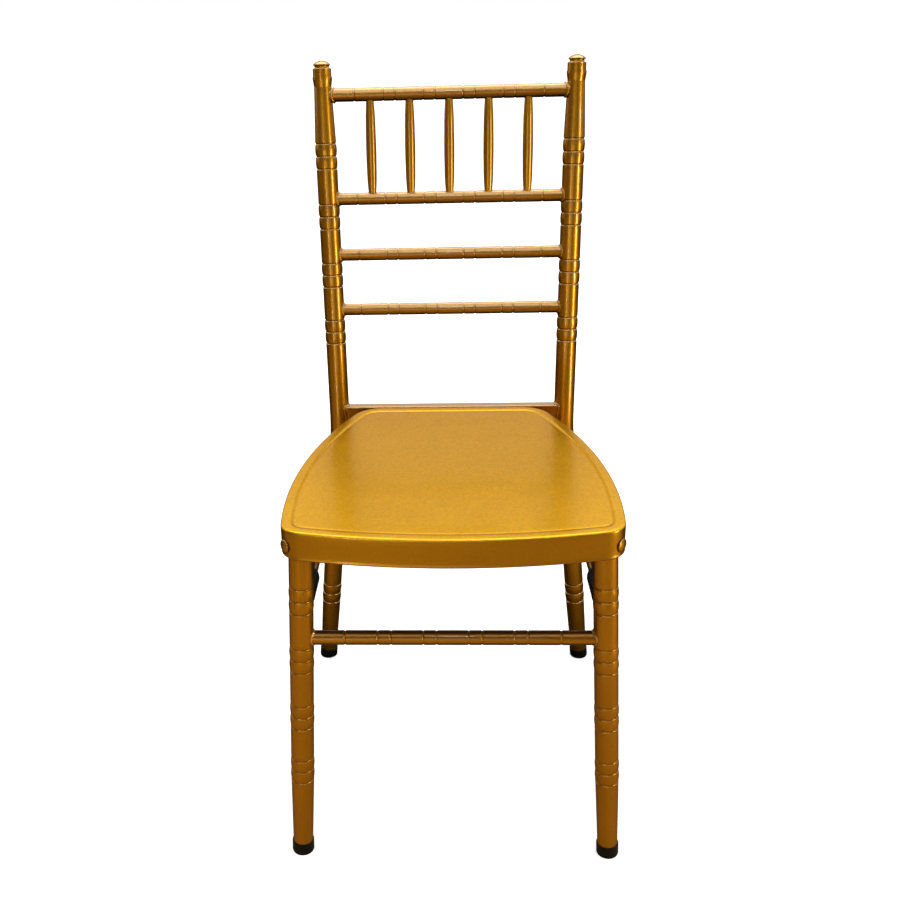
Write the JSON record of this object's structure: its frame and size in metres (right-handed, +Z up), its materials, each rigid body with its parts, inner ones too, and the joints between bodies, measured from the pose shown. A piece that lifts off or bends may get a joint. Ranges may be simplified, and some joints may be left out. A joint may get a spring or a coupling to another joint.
{
  "type": "chiavari chair",
  "caption": "Armless steel banquet chair with bamboo-ringed legs and posts, a spindle back, round stretchers and a pressed sheet seat.",
  "frame": {"origin": "On the floor, at the middle of the chair's bounding box.", "axes": "+Z is up. The chair faces -Y. +X is the viewer's right when the chair is seen from the front, and left in a node name is the -X side."},
  "size_m": [0.4372, 0.4868, 0.9201],
  "materials": {
    "frame_lacquer": "gloss",
    "seat_lacquer": "satin",
    "black_rubber": "matt"
  },
  "bodies": {
    "root": {"front_leg_left": "frame_lacquer", "front_leg_right": "frame_lacquer", "rear_post_left": "frame_lacquer", "rear_post_right": "frame_lacquer", "post_cap_left": "frame_lacquer", "post_cap_right": "frame_lacquer", "top_rail": "frame_lacquer", "spindle_rail": "frame_lacquer", "middle_back_rail": "frame_lacquer", "lower_back_rail": "frame_lacquer", "spindle_1": "frame_lacquer", "spindle_2": "frame_lacquer", "spindle_3": "frame_lacquer", "spindle_4": "frame_lacquer", "spindle_5": "frame_lacquer", "front_stretcher": "frame_lacquer", "rear_stretcher": "frame_lacquer", "side_stretcher_left": "frame_lacquer", "side_stretcher_right": "frame_lacquer", "rear_seat_rail": "frame_lacquer", "front_seat_rail": "frame_lacquer", "side_seat_rail_left": "frame_lacquer", "side_seat_rail_right": "frame_lacquer", "seat_screw_left": "frame_lacquer", "seat_screw_right": "frame_lacquer", "seat_pan": "seat_lacquer", "foot_cap_front_left": "black_rubber", "foot_cap_front_right": "black_rubber", "foot_cap_rear_left": "black_rubber", "foot_cap_rear_right": "black_rubber", "stacking_bumper_left": "black_rubber", "stacking_bumper_right": "black_rubber"}
  },
  "joints": []
}
